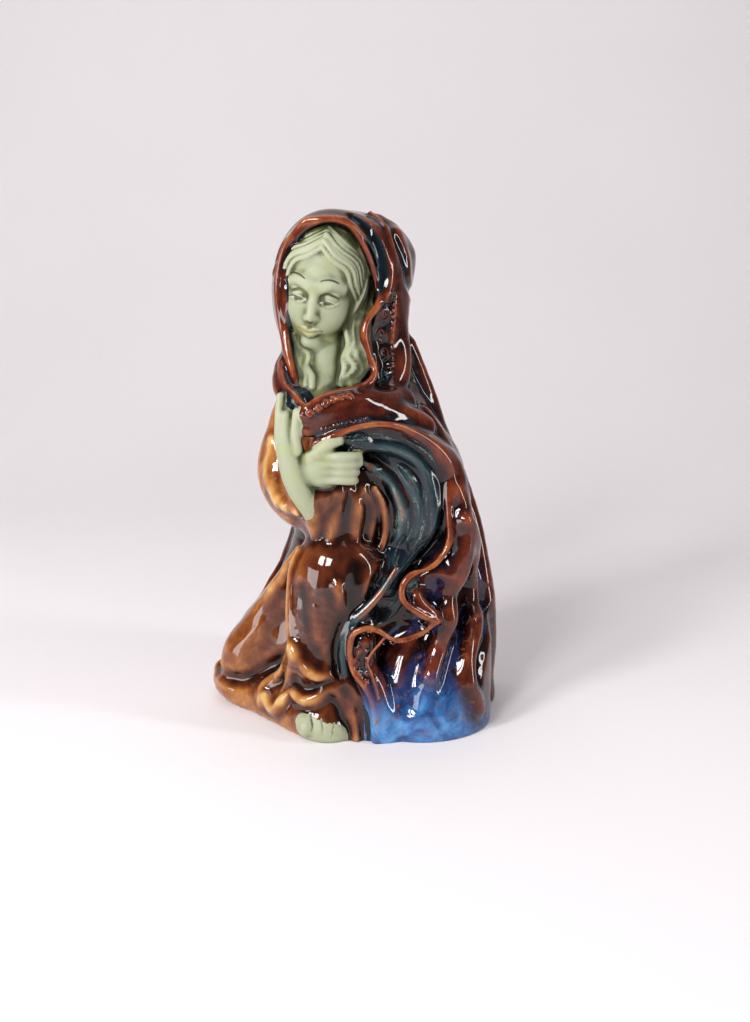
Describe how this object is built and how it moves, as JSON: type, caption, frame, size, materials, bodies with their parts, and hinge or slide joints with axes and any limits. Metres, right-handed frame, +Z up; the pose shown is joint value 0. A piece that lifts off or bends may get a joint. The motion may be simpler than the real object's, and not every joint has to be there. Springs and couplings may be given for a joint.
{
  "type": "nativity figurine",
  "caption": "Kneeling woman in a hooded mantle with her hands crossed on her breast, a hollow glazed porcelain figurine standing on a flat base.",
  "frame": {"origin": "middle of the bounding box on the floor the figurine stands on", "axes": "+Z up; -Y is the side that the face and the crossed hands are shown to; +X is to the right of that view"},
  "size_m": [0.142, 0.1174, 0.2409],
  "materials": {
    "glazed_porcelain": "gloss brown glaze, matt green skin and hair"
  },
  "bodies": {
    "root": {"kneeling_figure": "glazed_porcelain"}
  },
  "joints": []
}
